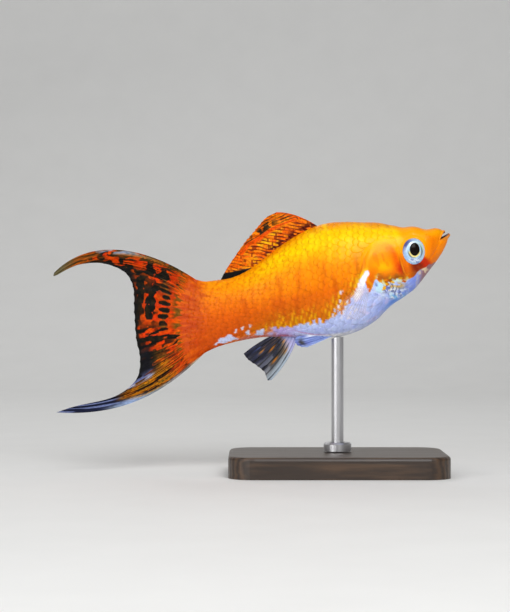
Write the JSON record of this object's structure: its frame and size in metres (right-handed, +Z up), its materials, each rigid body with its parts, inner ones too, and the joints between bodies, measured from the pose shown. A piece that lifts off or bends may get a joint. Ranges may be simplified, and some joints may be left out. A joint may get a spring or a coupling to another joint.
{
  "type": "lyretail saffron molly",
  "caption": "Life-size still model of a lyretail molly fish in saffron orange, swimming, held on a rod above a flat base.",
  "frame": {"origin": "middle of the object's bounding box, on the floor under the stand", "axes": "+X towards the snout, +Y towards the fish's left side, +Z up"},
  "size_m": [0.092, 0.034, 0.0602],
  "materials": {
    "saffron_skin": "glossy scaled skin, saffron orange",
    "gill_plate": "glossy smooth plate",
    "pale_jaw": "glossy pale skin",
    "patterned_fin": "satin fin, red and orange with black cells",
    "clear_fin": "satin translucent fin, slate blue",
    "iris": "glossy silver blue",
    "pupil": "glossy black",
    "dark_wood": "satin dark stained wood",
    "steel": "satin"
  },
  "bodies": {
    "root": {"head": "saffron_skin", "lower_jaw": "pale_jaw", "gill_cover_right": "gill_plate", "gill_cover_left": "gill_plate", "trunk": "saffron_skin", "tail_stem": "saffron_skin", "eye_right": "iris", "eye_left": "iris", "pupil_right": "pupil", "pupil_left": "pupil", "dorsal_fin": "patterned_fin", "tail_fin_middle": "patterned_fin", "tail_fin_upper": "patterned_fin", "tail_fin_upper_tip": "patterned_fin", "tail_fin_lower": "patterned_fin", "tail_fin_lower_tip": "patterned_fin", "anal_fin": "clear_fin", "pelvic_fin_right": "clear_fin", "pelvic_fin_left": "clear_fin", "pectoral_fin_right": "clear_fin", "pectoral_fin_left": "clear_fin", "stand_base": "dark_wood", "stand_rod": "steel", "stand_collar": "steel"}
  },
  "joints": []
}
